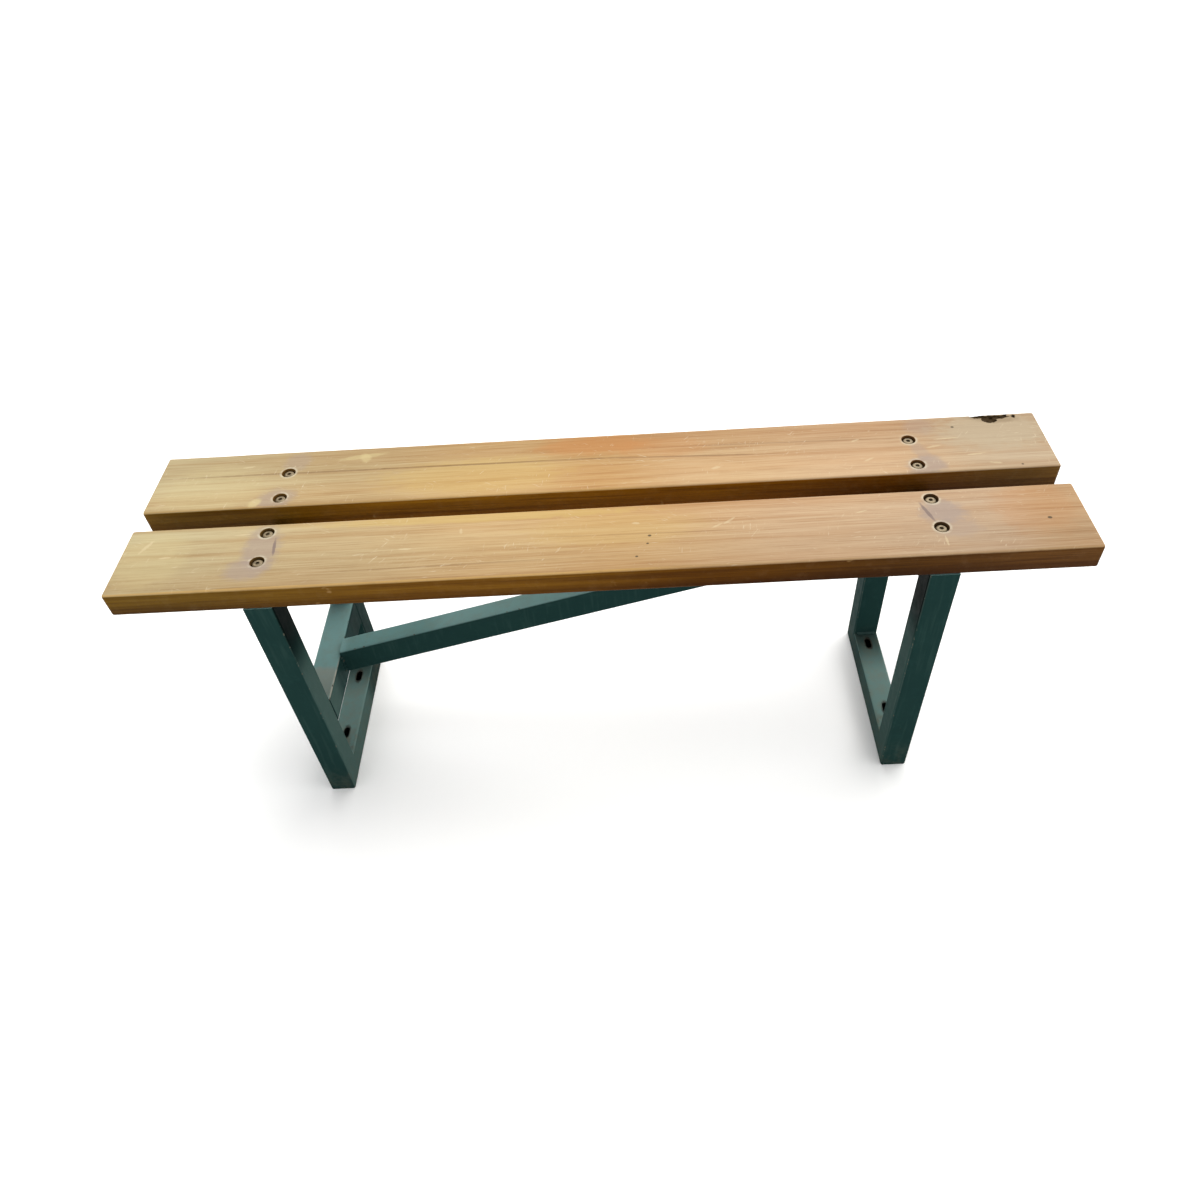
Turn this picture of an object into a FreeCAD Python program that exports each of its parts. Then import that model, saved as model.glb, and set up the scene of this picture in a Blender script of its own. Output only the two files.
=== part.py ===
"""Two-plank bench seat on a pair of welded steel leg frames.

All sizes are millimetres. X runs along the seat, Y from front to back and Z
up; the origin is on the floor, below the middle of the seat. Each leg frame is
a closed rectangle of four mitred tubes that stands in a YZ plane. The left
frame has one more tube across it, half way up, and a diagonal brace climbs
from that tube to the seat bearer of the right frame. Eight bolts hold the two
timber planks down on the seat bearers.
"""
import FreeCAD, Part
import math
import os
import Sketcher

DRIVING_SIZES = {
    # timber seat
    "bench_length": 1200.0,
    "plank_width": 118.0,
    "plank_thickness": 35.0,
    "plank_gap": 34.0,
    "arris_radius": 3.0,
    # steel leg frames
    "seat_height": 440.0,
    "frame_spread": 840.0,
    "tube_side": 38.0,
    "tube_wall": 2.0,
    "tube_corner": 4.0,
    "middle_rail_top": 174.0,
    "middle_rail_depth": 50.0,
    # diagonal brace: its section, as deep as the middle rail, and the height
    # of its top edge at each end
    "brace_thickness": 30.0,
    "brace_depth": 44.0,
    "brace_low_top": 180.0,
    "brace_high_top": 397.0,
    # floor fixing slots in the foot rails, and how far they are from the middle
    "slot_width": 9.0,
    "slot_length": 20.0,
    "front_slot": 57.0,
    "left_rear_slot": 57.0,
    "right_rear_slot": 75.0,
    # plank bolts
    "bolt_edge_distance": 17.5,
    "bolt_pitch": 53.0,
    "plank_hole": 9.0,
    "tube_hole": 9.0,
    "counterbore": 18.0,
    "counterbore_depth": 8.0,
    "bolt_shank": 8.0,
    "bolt_grip": 80.0,
    "bolt_head": 14.0,
    "bolt_head_height": 4.4,
    "bolt_head_round": 2.6,
    "socket_across_corners": 5.8,
    "socket_depth": 2.6,
    "washer_outside": 16.0,
    "washer_hole": 8.4,
    "washer_thickness": 1.6,
    "nut_across_corners": 15.0,
    "nut_height": 6.5,
    "nut_hole": 8.1,
    # fillet welds
    "weld_leg": 3.5,
}

# Expressions that follow from the driving sizes.
FRAME_TOP = "(sizes.seat_height - sizes.plank_thickness)"
SEAT_DEPTH = "(2 * sizes.plank_width + sizes.plank_gap)"
BEARER_UNDERSIDE = f"({FRAME_TOP} - sizes.tube_side)"
INNER_BOLT_ROW = "(sizes.plank_gap / 2 + sizes.bolt_edge_distance)"
OUTER_BOLT_ROW = f"({INNER_BOLT_ROW} + sizes.bolt_pitch)"
BRACE_SPAN = "(sizes.frame_spread - sizes.tube_side)"
BRACE_TILT = f"atan((sizes.brace_high_top - sizes.brace_low_top) / {BRACE_SPAN})"
CUT_MARGIN = 2.0

X_AXIS = FreeCAD.Vector(1, 0, 0)
Y_AXIS = FreeCAD.Vector(0, 1, 0)
Z_AXIS = FreeCAD.Vector(0, 0, 1)
UPRIGHT = FreeCAD.Rotation()
TURNED_ROUND = FreeCAD.Rotation(Z_AXIS, 180)
LENGTH_ALONG_Y_INSIDE_UP = FreeCAD.Rotation(X_AXIS, 90)
LENGTH_ALONG_Y_INSIDE_DOWN = FreeCAD.Rotation(X_AXIS, -90)

doc = FreeCAD.newDocument("Bench")
subparts = []


def make_sizes_sheet():
    sheet = doc.addObject("Spreadsheet::Sheet", "sizes")
    for row, (alias, value) in enumerate(DRIVING_SIZES.items(), start=1):
        sheet.set(f"A{row}", alias)
        sheet.set(f"B{row}", str(value))
        sheet.setAlias(f"B{row}", alias)
    doc.recompute()
    return sheet


sizes = make_sizes_sheet()


def as_subpart(feature, label):
    """Name a finished feature and list it for export."""
    feature.Label = label
    subparts.append(feature)
    return feature


def place(feature, x="0", y="0", z="0", rotation=UPRIGHT):
    """Put a feature where three expressions say, turned by a fixed rotation."""
    feature.Placement = FreeCAD.Placement(FreeCAD.Vector(), rotation)
    for letter, expression in zip("xyz", (x, y, z)):
        feature.setExpression(f".Placement.Base.{letter}", expression)


def sketch_on(body, plane_role, name):
    """Add a sketch on one of a body's own origin planes."""
    plane = next(f for f in body.Origin.OriginFeatures if f.Role == plane_role)
    sketch = body.newObject("Sketcher::SketchObject", name)
    sketch.AttachmentSupport = (plane, [""])
    sketch.MapMode = "FlatFace"
    return sketch


def dimension(sketch, expression, *constraint):
    """Add a dimensional constraint whose value an expression gives."""
    index = sketch.addConstraint(Sketcher.Constraint(*constraint))
    sketch.setExpression(f"Constraints[{index}]", expression)


def relate(sketch, *constraint):
    """Add a geometric constraint."""
    return sketch.addConstraint(Sketcher.Constraint(*constraint))


def draw_rectangle(sketch, width, height, width_start, height_start):
    """Centred rectangle; the expressions give its size, the numbers seed it."""
    right, top = width_start / 2, height_start / 2
    corners = [FreeCAD.Vector(x, y) for x, y in
               ((-right, -top), (right, -top), (right, top), (-right, top))]
    lines = [sketch.addGeometry(Part.LineSegment(corners[i], corners[(i + 1) % 4])) for i in range(4)]
    for i in range(4):
        relate(sketch, "Coincident", lines[i], 2, lines[(i + 1) % 4], 1)
    for i, direction in enumerate(("Horizontal", "Vertical", "Horizontal", "Vertical")):
        relate(sketch, direction, lines[i])
    relate(sketch, "Symmetric", lines[0], 1, lines[2], 1, -1, 1)
    dimension(sketch, width, "DistanceX", lines[0], 1, lines[0], 2, width_start)
    dimension(sketch, height, "DistanceY", lines[1], 1, lines[1], 2, height_start)


def draw_rounded_rectangle(sketch, width, height, radius, width_start, height_start, radius_start):
    """Centred rectangle with rounded corners, drawn anticlockwise."""
    right, top, radius_now = width_start / 2, height_start / 2, radius_start
    centres = [(right - radius_now, -top + radius_now), (right - radius_now, top - radius_now),
               (-right + radius_now, top - radius_now), (-right + radius_now, -top + radius_now)]
    arcs = []
    for quarter, (x, y) in enumerate(centres):
        circle = Part.Circle(FreeCAD.Vector(x, y), Z_AXIS, radius_now)
        start = math.radians(-90 + 90 * quarter)
        arcs.append(Part.ArcOfCircle(circle, start, start + math.pi / 2))
    arc_ids = [sketch.addGeometry(arc) for arc in arcs]
    line_ids = [sketch.addGeometry(Part.LineSegment(arcs[i - 1].EndPoint, arcs[i].StartPoint)) for i in range(4)]
    for i in range(4):
        relate(sketch, "Tangent", line_ids[i], 2, arc_ids[i], 1)
        relate(sketch, "Tangent", arc_ids[i - 1], 2, line_ids[i], 1)
    for i, direction in enumerate(("Horizontal", "Vertical", "Horizontal", "Vertical")):
        relate(sketch, direction, line_ids[i])
    for arc_id in arc_ids[1:]:
        relate(sketch, "Equal", arc_ids[0], arc_id)
    relate(sketch, "Symmetric", arc_ids[0], 3, arc_ids[2], 3, -1, 1)
    dimension(sketch, radius, "Radius", arc_ids[0], radius_now)
    dimension(sketch, width, "DistanceX", line_ids[3], 1, line_ids[1], 1, width_start)
    dimension(sketch, height, "DistanceY", line_ids[0], 1, line_ids[2], 1, height_start)


def draw_circle(sketch, x, y, diameter, x_start, y_start, diameter_start):
    """Circle at signed positions; an expression of "0" keeps it on that axis."""
    circle = sketch.addGeometry(Part.Circle(FreeCAD.Vector(x_start, y_start), Z_AXIS, diameter_start / 2))
    dimension(sketch, diameter, "Diameter", circle, diameter_start)
    for constraint, expression, value in (("DistanceX", x, x_start), ("DistanceY", y, y_start)):
        if expression == "0":
            relate(sketch, "PointOnObject", circle, 3, -2 if constraint == "DistanceX" else -1)
        else:
            dimension(sketch, expression, constraint, -1, 1, circle, 3, value)


def draw_lengthwise_slot(sketch, centre, centre_start):
    """Slot along the sketch's vertical axis, centred on a signed position."""
    radius = sizes.slot_width / 2
    reach = (sizes.slot_length - sizes.slot_width) / 2
    top = Part.ArcOfCircle(Part.Circle(FreeCAD.Vector(0, centre_start + reach), Z_AXIS, radius), 0, math.pi)
    bottom = Part.ArcOfCircle(Part.Circle(FreeCAD.Vector(0, centre_start - reach), Z_AXIS, radius),
                              math.pi, 2 * math.pi)
    left = Part.LineSegment(top.EndPoint, bottom.StartPoint)
    right = Part.LineSegment(bottom.EndPoint, top.StartPoint)
    top_id, left_id, bottom_id, right_id = [sketch.addGeometry(g) for g in (top, left, bottom, right)]
    relate(sketch, "Tangent", top_id, 2, left_id, 1)
    relate(sketch, "Tangent", left_id, 2, bottom_id, 1)
    relate(sketch, "Tangent", bottom_id, 2, right_id, 1)
    relate(sketch, "Tangent", right_id, 2, top_id, 1)
    relate(sketch, "Equal", top_id, bottom_id)
    relate(sketch, "Vertical", left_id)
    relate(sketch, "PointOnObject", top_id, 3, -2)
    straight = "(sizes.slot_length - sizes.slot_width)"
    dimension(sketch, "sizes.slot_width / 2", "Radius", top_id, radius)
    dimension(sketch, straight, "DistanceY", bottom_id, 3, top_id, 3, 2 * reach)
    dimension(sketch, f"{centre} + {straight} / 2", "DistanceY", -1, 1, top_id, 3, centre_start + reach)


def draw_mitre_wedge(sketch, half_length, half_length_now, end):
    """Right-angled wedge that takes the corner off one end of a tube at 45 degrees.

    The sketch's horizontal axis runs from the outside of the frame to its
    inside, so the tube keeps its full length on the outside. end is -1 or +1.
    """
    half_width = sizes.tube_side / 2 + CUT_MARGIN
    beyond = end * (half_length_now + CUT_MARGIN)
    outside = FreeCAD.Vector(-half_width, beyond)
    inside = FreeCAD.Vector(half_width, beyond)
    tip = FreeCAD.Vector(half_width, beyond - end * 2 * half_width)
    base, side, slope = [sketch.addGeometry(Part.LineSegment(a, b)) for a, b in
                         ((outside, inside), (inside, tip), (tip, outside))]
    for first, second in ((base, side), (side, slope), (slope, base)):
        relate(sketch, "Coincident", first, 2, second, 1)
    relate(sketch, "Horizontal", base)
    relate(sketch, "Vertical", side)
    relate(sketch, "Equal", base, side)
    width = f"(sizes.tube_side + {2 * CUT_MARGIN})"
    dimension(sketch, width, "DistanceX", base, 1, base, 2, 2 * half_width)
    dimension(sketch, f"{width} / 2", "DistanceX", -1, 1, base, 2, half_width)
    dimension(sketch, f"{end} * ({half_length} + {CUT_MARGIN})", "DistanceY", -1, 1, base, 2, beyond)


def pad_both_ways(body, sketch, length):
    """Extrude a sketch to both sides of its plane."""
    pad = body.newObject("PartDesign::Pad", "Length")
    pad.Profile = sketch
    pad.SideType = "Symmetric"
    pad.setExpression("Length", length)
    doc.recompute()
    return pad


def cut_right_through(body, sketch, name):
    """Cut a sketch through the whole body, to both sides of its plane."""
    before = body.Shape.Volume
    pocket = body.newObject("PartDesign::Pocket", name)
    pocket.Profile = sketch
    pocket.Type = "ThroughAll"
    pocket.SideType = "Symmetric"
    doc.recompute()
    if body.Shape.Volume >= before:
        raise RuntimeError(f"{body.Label}: {name} removed nothing")
    return pocket


def make_tube(label, length, section_plane="XY_Plane", across="tube_side", deep="tube_side"):
    """Rectangular steel tube, centred on the origin, with square ends."""
    body = doc.addObject("PartDesign::Body", label)
    section = sketch_on(body, section_plane, "Section")
    across_now, deep_now = getattr(sizes, across), getattr(sizes, deep)
    draw_rounded_rectangle(section, f"sizes.{across}", f"sizes.{deep}", "sizes.tube_corner",
                           across_now, deep_now, sizes.tube_corner)
    wall = sizes.tube_wall
    draw_rounded_rectangle(section, f"sizes.{across} - 2 * sizes.tube_wall",
                           f"sizes.{deep} - 2 * sizes.tube_wall", "sizes.tube_corner - sizes.tube_wall",
                           across_now - 2 * wall, deep_now - 2 * wall, sizes.tube_corner - wall)
    pad_both_ways(body, section, length)
    return body


def mitre_both_ends(body, length, length_now):
    """Cut both ends of a frame tube back towards the inside of the frame."""
    wedges = sketch_on(body, "YZ_Plane", "MitreWedges")
    for end in (-1, 1):
        draw_mitre_wedge(wedges, f"{length} / 2", length_now / 2, end)
    cut_right_through(body, wedges, "Mitres")


def frame_side(side_name):
    """Expression for a leg frame's X position."""
    return "sizes.frame_spread / 2" if side_name == "right" else "-sizes.frame_spread / 2"


def make_legs(side_name):
    """Front and rear leg of one frame, mitred at the floor and under the seat."""
    for which, sign, rotation in (("front", "-", UPRIGHT), ("rear", "", TURNED_ROUND)):
        leg = make_tube(f"{side_name}_{which}_leg", FRAME_TOP)
        mitre_both_ends(leg, FRAME_TOP, sizes.seat_height - sizes.plank_thickness)
        place(leg, frame_side(side_name), f"{sign}({SEAT_DEPTH} - sizes.tube_side) / 2", f"{FRAME_TOP} / 2",
              rotation)
        as_subpart(leg, f"{side_name}_{which}_leg")


def make_foot_rail(side_name):
    """Tube along the floor with two slots for floor fixings.

    Laid down, the tube's length points from the back of the bench to its front.
    """
    rail = make_tube(f"{side_name}_foot_rail", SEAT_DEPTH)
    mitre_both_ends(rail, SEAT_DEPTH, 2 * sizes.plank_width + sizes.plank_gap)
    slots = sketch_on(rail, "XZ_Plane", "FloorSlots")
    rear_slot = f"{side_name}_rear_slot"
    draw_lengthwise_slot(slots, "sizes.front_slot", sizes.front_slot)
    draw_lengthwise_slot(slots, f"-sizes.{rear_slot}", -getattr(sizes, rear_slot))
    cut_right_through(rail, slots, "SlotCuts")
    place(rail, frame_side(side_name), "0", "sizes.tube_side / 2", LENGTH_ALONG_Y_INSIDE_UP)
    as_subpart(rail, f"{side_name}_foot_rail")


def make_seat_bearer(side_name):
    """Tube under the planks, drilled for the four plank bolts."""
    bearer = make_tube(f"{side_name}_seat_bearer", SEAT_DEPTH)
    mitre_both_ends(bearer, SEAT_DEPTH, 2 * sizes.plank_width + sizes.plank_gap)
    holes = sketch_on(bearer, "XZ_Plane", "BoltHoles")
    inner_now = sizes.plank_gap / 2 + sizes.bolt_edge_distance
    for row, row_now in ((INNER_BOLT_ROW, inner_now), (OUTER_BOLT_ROW, inner_now + sizes.bolt_pitch)):
        for sign in (-1, 1):
            draw_circle(holes, "0", f"{sign} * {row}", "sizes.tube_hole", 0, sign * row_now, sizes.tube_hole)
    cut_right_through(bearer, holes, "BoltHoleCuts")
    place(bearer, frame_side(side_name), "0", f"{FRAME_TOP} - sizes.tube_side / 2",
          LENGTH_ALONG_Y_INSIDE_DOWN)
    as_subpart(bearer, f"{side_name}_seat_bearer")


def make_middle_rail():
    """Deeper tube half way up the left frame, between its two legs."""
    rail = make_tube("left_middle_rail", f"{SEAT_DEPTH} - 2 * sizes.tube_side",
                     deep="middle_rail_depth")
    place(rail, frame_side("left"), "0", "sizes.middle_rail_top - sizes.middle_rail_depth / 2",
          LENGTH_ALONG_Y_INSIDE_DOWN)
    as_subpart(rail, "left_middle_rail")


def make_diagonal_brace():
    """Sloping tube from the left middle rail up to the right seat bearer.

    The tube is tilted about Y and both ends are trimmed upright, by keeping
    only what lies between the inside faces of the two frames.
    """
    stock = make_tube("brace_stock", f"{BRACE_SPAN} / cos({BRACE_TILT}) + 2 * sizes.brace_depth",
                      "YZ_Plane", "brace_thickness", "brace_depth")
    half_depth = f"sizes.brace_depth / 2 / cos({BRACE_TILT})"
    middle = f"(sizes.brace_low_top + sizes.brace_high_top) / 2 - {half_depth}"
    place(stock, z=middle, rotation=FreeCAD.Rotation(Y_AXIS, -1))
    stock.setExpression(".Placement.Rotation.Angle", f"-{BRACE_TILT}")
    between_frames = doc.addObject("Part::Box", "BetweenFrames")
    between_frames.setExpression("Length", BRACE_SPAN)
    between_frames.setExpression("Width", "2 * sizes.brace_thickness")
    between_frames.setExpression("Height", "sizes.seat_height")
    place(between_frames, f"-{BRACE_SPAN} / 2", "-sizes.brace_thickness")
    brace = doc.addObject("Part::Common", "diagonal_brace")
    brace.Base = stock
    brace.Tool = between_frames
    as_subpart(brace, "diagonal_brace")


def make_plank(label, sign, rotation):
    """Timber plank with rounded arrises and four counterbored bolt holes.

    Both planks are alike: the rear one is the front one turned round, so that
    its bolts also crowd towards the gap.
    """
    body = doc.addObject("PartDesign::Body", label)
    outline = sketch_on(body, "XY_Plane", "Outline")
    draw_rectangle(outline, "sizes.bench_length", "sizes.plank_width", sizes.bench_length, sizes.plank_width)
    board = body.newObject("PartDesign::Pad", "Board")
    board.Profile = outline
    board.setExpression("Length", "sizes.plank_thickness")
    doc.recompute()
    arrises = body.newObject("PartDesign::Fillet", "Arrises")
    arrises.Base = (board, [f"Edge{i}" for i in range(1, len(board.Shape.Edges) + 1)])
    arrises.setExpression("Radius", "sizes.arris_radius")
    doc.recompute()
    inner = "(sizes.plank_width / 2 - sizes.bolt_edge_distance)"
    inner_now = sizes.plank_width / 2 - sizes.bolt_edge_distance
    holes = sketch_on(body, "XY_Plane", "BoltHoles")
    recesses = sketch_on(body, "XY_Plane", "Recesses")
    recesses.setExpression(".AttachmentOffset.Base.z", "sizes.plank_thickness")
    for end in (-1, 1):
        x, x_now = f"{end} * sizes.frame_spread / 2", end * sizes.frame_spread / 2
        for y, y_now in ((inner, inner_now), (f"({inner} - sizes.bolt_pitch)", inner_now - sizes.bolt_pitch)):
            draw_circle(holes, x, y, "sizes.plank_hole", x_now, y_now, sizes.plank_hole)
            draw_circle(recesses, x, y, "sizes.counterbore", x_now, y_now, sizes.counterbore)
    doc.recompute()
    cut_right_through(body, holes, "BoltHoleCuts")
    before = body.Shape.Volume
    counterbores = body.newObject("PartDesign::Pocket", "Counterbores")
    counterbores.Profile = recesses
    counterbores.setExpression("Length", "sizes.counterbore_depth")
    doc.recompute()
    if body.Shape.Volume >= before:
        raise RuntimeError(f"{label}: the counterbores removed nothing")
    place(body, "0", f"{sign} * (sizes.plank_width + sizes.plank_gap) / 2", FRAME_TOP, rotation)
    as_subpart(body, label)


def bolt_axes(side_name):
    """X and Y expressions of the four bolt axes over one leg frame."""
    rows = (f"-{OUTER_BOLT_ROW}", f"-{INNER_BOLT_ROW}", INNER_BOLT_ROW, OUTER_BOLT_ROW)
    return [(frame_side(side_name), row) for row in rows]


def make_cylinder(name, diameter, height, z="0"):
    cylinder = doc.addObject("Part::Cylinder", name)
    cylinder.setExpression("Radius", f"({diameter}) / 2")
    cylinder.setExpression("Height", height)
    place(cylinder, z=z)
    return cylinder


def make_hexagon(name, across_corners, height, z="0"):
    prism = doc.addObject("Part::Prism", name)
    prism.Polygon = 6
    prism.setExpression("Circumradius", f"({across_corners}) / 2")
    prism.setExpression("Height", height)
    place(prism, z=z)
    return prism


def cut_from(base, tool, name):
    cut = doc.addObject("Part::Cut", name)
    cut.Base = base
    cut.Tool = tool
    return cut


def make_washer():
    """Flat washer that stands on its origin."""
    disc = make_cylinder("WasherDisc", "sizes.washer_outside", "sizes.washer_thickness")
    hole = make_cylinder("WasherHole", "sizes.washer_hole", "sizes.washer_thickness")
    return cut_from(disc, hole, "Washer")


def make_nut():
    """Hexagon nut that stands on its origin, bored just clear of the bolt."""
    hexagon = make_hexagon("NutHexagon", "sizes.nut_across_corners", "sizes.nut_height")
    hole = make_cylinder("NutHole", "sizes.nut_hole", "sizes.nut_height")
    return cut_from(hexagon, hole, "Nut")


def make_bolt():
    """Button-head socket bolt; its origin is under the head."""
    head = make_cylinder("BoltHead", "sizes.bolt_head", "sizes.bolt_head_height")
    doc.recompute()
    top_edge = next(i for i, edge in enumerate(head.Shape.Edges, start=1)
                    if edge.BoundBox.ZMin > sizes.bolt_head_height / 2)
    rounded_head = doc.addObject("Part::Fillet", "RoundedHead")
    rounded_head.Base = head
    rounded_head.Edges = [(top_edge, sizes.bolt_head_round, sizes.bolt_head_round)]
    shank = make_cylinder("BoltShank", "sizes.bolt_shank", "sizes.bolt_grip", "-sizes.bolt_grip")
    blank = doc.addObject("Part::Fuse", "BoltBlank")
    blank.Base = rounded_head
    blank.Tool = shank
    socket = make_hexagon("BoltSocket", "sizes.socket_across_corners", "sizes.socket_depth",
                          "sizes.bolt_head_height - sizes.socket_depth")
    return cut_from(blank, socket, "Bolt")


def make_fastener_group(label, make_one, side_name, z):
    """Four alike fasteners, one on each bolt axis of a frame, as separate solids."""
    members = []
    for x, y in bolt_axes(side_name):
        fastener = make_one()
        place(fastener, x, y, z)
        members.append(fastener)
    group = doc.addObject("Part::Compound", label)
    group.Links = members
    as_subpart(group, label)


def make_fasteners(side_name):
    """Everything on the four bolt axes of one frame, from the top down."""
    recess_floor = "(sizes.seat_height - sizes.counterbore_depth)"
    lower_washer = f"({BEARER_UNDERSIDE} - sizes.washer_thickness)"
    make_fastener_group(f"{side_name}_plank_bolts", make_bolt, side_name,
                        f"{recess_floor} + sizes.washer_thickness")
    make_fastener_group(f"{side_name}_head_washers", make_washer, side_name, recess_floor)
    make_fastener_group(f"{side_name}_nut_washers", make_washer, side_name, lower_washer)
    make_fastener_group(f"{side_name}_nuts", make_nut, side_name, f"{lower_washer} - sizes.nut_height")


def make_bead(corner, leg_one, leg_two, length):
    """Fillet weld between two faces that meet along an edge.

    corner is the middle of that edge, and leg_one and leg_two are the unit
    directions in which the two faces leave it.
    """
    along = leg_one.cross(leg_two)
    bead = doc.addObject("Part::Wedge", "WeldBead")
    for name in ("Xmin", "Ymin", "Zmin", "X2min", "X2max", "Z2min"):
        setattr(bead, name, 0)
    for name in ("Xmax", "Ymax"):
        bead.setExpression(name, "sizes.weld_leg")
    for name in ("Zmax", "Z2max"):
        setattr(bead, name, length)
    start = corner - along * (length / 2)
    bead.Placement = FreeCAD.Placement(start, FreeCAD.Rotation(leg_one, leg_two, along, "XYZ"))
    return bead


def group_beads(label, beads):
    group = doc.addObject("Part::Compound", label)
    group.Links = beads
    as_subpart(group, label)


def make_corner_welds(side_name):
    """Beads across the two lower inside corners of a frame.

    The upper corners are welded on the outside and ground flush, because the
    outer nuts sit close to their inside.
    """
    x = sizes.frame_spread / 2 * (1 if side_name == "right" else -1)
    inside_y = (2 * sizes.plank_width + sizes.plank_gap) / 2 - sizes.tube_side
    flat_width = sizes.tube_side - 2 * sizes.tube_corner
    beads = []
    for y_sign in (-1, 1):
        corner = FreeCAD.Vector(x, y_sign * inside_y, sizes.tube_side)
        beads.append(make_bead(corner, Y_AXIS * -y_sign, Z_AXIS, flat_width))
    group_beads(f"{side_name}_corner_welds", beads)


def make_middle_rail_welds():
    """Beads above and below both ends of the middle rail."""
    x = -sizes.frame_spread / 2
    inside_y = (2 * sizes.plank_width + sizes.plank_gap) / 2 - sizes.tube_side
    flat_width = sizes.tube_side - 2 * sizes.tube_corner
    beads = []
    for y_sign in (-1, 1):
        for z, up in ((sizes.middle_rail_top, 1), (sizes.middle_rail_top - sizes.middle_rail_depth, -1)):
            corner = FreeCAD.Vector(x, y_sign * inside_y, z)
            beads.append(make_bead(corner, Y_AXIS * -y_sign, Z_AXIS * up, flat_width))
    group_beads("middle_rail_welds", beads)


def make_brace_welds():
    """Upright beads on both cheeks of the brace, at its low and its high end."""
    half_span = (sizes.frame_spread - sizes.tube_side) / 2
    cheek = sizes.brace_thickness / 2
    tilt = math.atan2(sizes.brace_high_top - sizes.brace_low_top, 2 * half_span)
    low_bottom = sizes.brace_low_top - sizes.brace_depth / math.cos(tilt) + sizes.tube_corner
    low_length = sizes.middle_rail_top - sizes.tube_corner - low_bottom
    low_middle = low_bottom + low_length / 2
    bearer_flat_bottom = sizes.seat_height - sizes.plank_thickness - sizes.tube_side + sizes.tube_corner
    high_length = sizes.brace_high_top - 2 * sizes.tube_corner - bearer_flat_bottom
    high_middle = bearer_flat_bottom + high_length / 2
    beads = []
    for y_sign in (-1, 1):
        low_corner = FreeCAD.Vector(-half_span, y_sign * cheek, low_middle)
        high_corner = FreeCAD.Vector(half_span, y_sign * cheek, high_middle)
        beads.append(make_bead(low_corner, X_AXIS, Y_AXIS * y_sign, low_length))
        beads.append(make_bead(high_corner, X_AXIS * -1, Y_AXIS * y_sign, high_length))
    group_beads("brace_welds", beads)


def check_document():
    """Stop if any object failed or any sub-part is empty or invalid."""
    doc.recompute()
    for feature in doc.Objects:
        bad_states = {"Invalid", "Error"} & set(feature.State)
        if bad_states:
            raise RuntimeError(f"{feature.Label}: {bad_states}")
    for subpart in subparts:
        if subpart.Shape.isNull() or not subpart.Shape.isValid() or not subpart.Shape.Solids:
            raise RuntimeError(f"{subpart.Label}: bad shape")


def export_subparts():
    os.makedirs("parts", exist_ok=True)
    for subpart in subparts:
        subpart.Shape.exportStep(f"parts/{subpart.Label}.step")
        box = subpart.Shape.BoundBox
        print(f"{subpart.Label}: {len(subpart.Shape.Solids)} solid(s), {subpart.Shape.Volume / 1000:.1f} cm3, "
              f"X {box.XMin:.1f}..{box.XMax:.1f} Y {box.YMin:.1f}..{box.YMax:.1f} "
              f"Z {box.ZMin:.1f}..{box.ZMax:.1f}")


make_plank("front_plank", -1, UPRIGHT)
make_plank("rear_plank", 1, TURNED_ROUND)
for side in ("left", "right"):
    make_legs(side)
    make_foot_rail(side)
    make_seat_bearer(side)
    make_corner_welds(side)
    make_fasteners(side)
make_middle_rail()
make_middle_rail_welds()
make_diagonal_brace()
make_brace_welds()
check_document()
export_subparts()
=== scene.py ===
import math

import bmesh
import bpy
from mathutils import Matrix, Vector, noise


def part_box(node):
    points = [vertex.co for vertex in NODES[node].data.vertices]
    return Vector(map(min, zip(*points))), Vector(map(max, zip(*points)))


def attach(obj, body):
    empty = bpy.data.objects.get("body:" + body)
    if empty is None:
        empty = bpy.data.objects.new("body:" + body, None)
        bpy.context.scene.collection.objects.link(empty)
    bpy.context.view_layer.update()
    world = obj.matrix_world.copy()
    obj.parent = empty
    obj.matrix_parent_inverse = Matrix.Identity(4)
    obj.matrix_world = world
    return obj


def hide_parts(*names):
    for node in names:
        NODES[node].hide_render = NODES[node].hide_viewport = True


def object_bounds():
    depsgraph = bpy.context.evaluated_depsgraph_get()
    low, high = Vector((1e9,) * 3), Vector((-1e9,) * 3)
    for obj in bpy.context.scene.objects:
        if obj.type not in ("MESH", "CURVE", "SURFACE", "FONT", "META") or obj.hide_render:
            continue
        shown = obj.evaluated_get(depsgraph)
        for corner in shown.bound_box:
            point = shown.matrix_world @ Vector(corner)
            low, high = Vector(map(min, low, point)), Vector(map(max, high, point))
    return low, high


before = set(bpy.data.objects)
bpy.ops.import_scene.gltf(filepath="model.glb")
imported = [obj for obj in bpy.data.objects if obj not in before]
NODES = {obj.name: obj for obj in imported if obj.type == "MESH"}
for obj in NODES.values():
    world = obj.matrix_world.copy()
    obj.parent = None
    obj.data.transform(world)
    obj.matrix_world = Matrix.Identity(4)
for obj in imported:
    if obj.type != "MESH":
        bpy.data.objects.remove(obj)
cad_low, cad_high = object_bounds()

# A worn two-plank bench. Lengths are metres in the CAD frame: X along the seat, Y towards
# the back, Z up. The boards and the weld beads are built here; tubes and fasteners are the
# CAD nodes with finishes made below.

MM = 0.001
FRONT_LOW, FRONT_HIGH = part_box("front_plank")
REAR_LOW, REAR_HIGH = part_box("rear_plank")
RAIL_LOW, RAIL_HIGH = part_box("left_middle_rail")
SEAT_TOP = FRONT_HIGH.z

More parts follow.
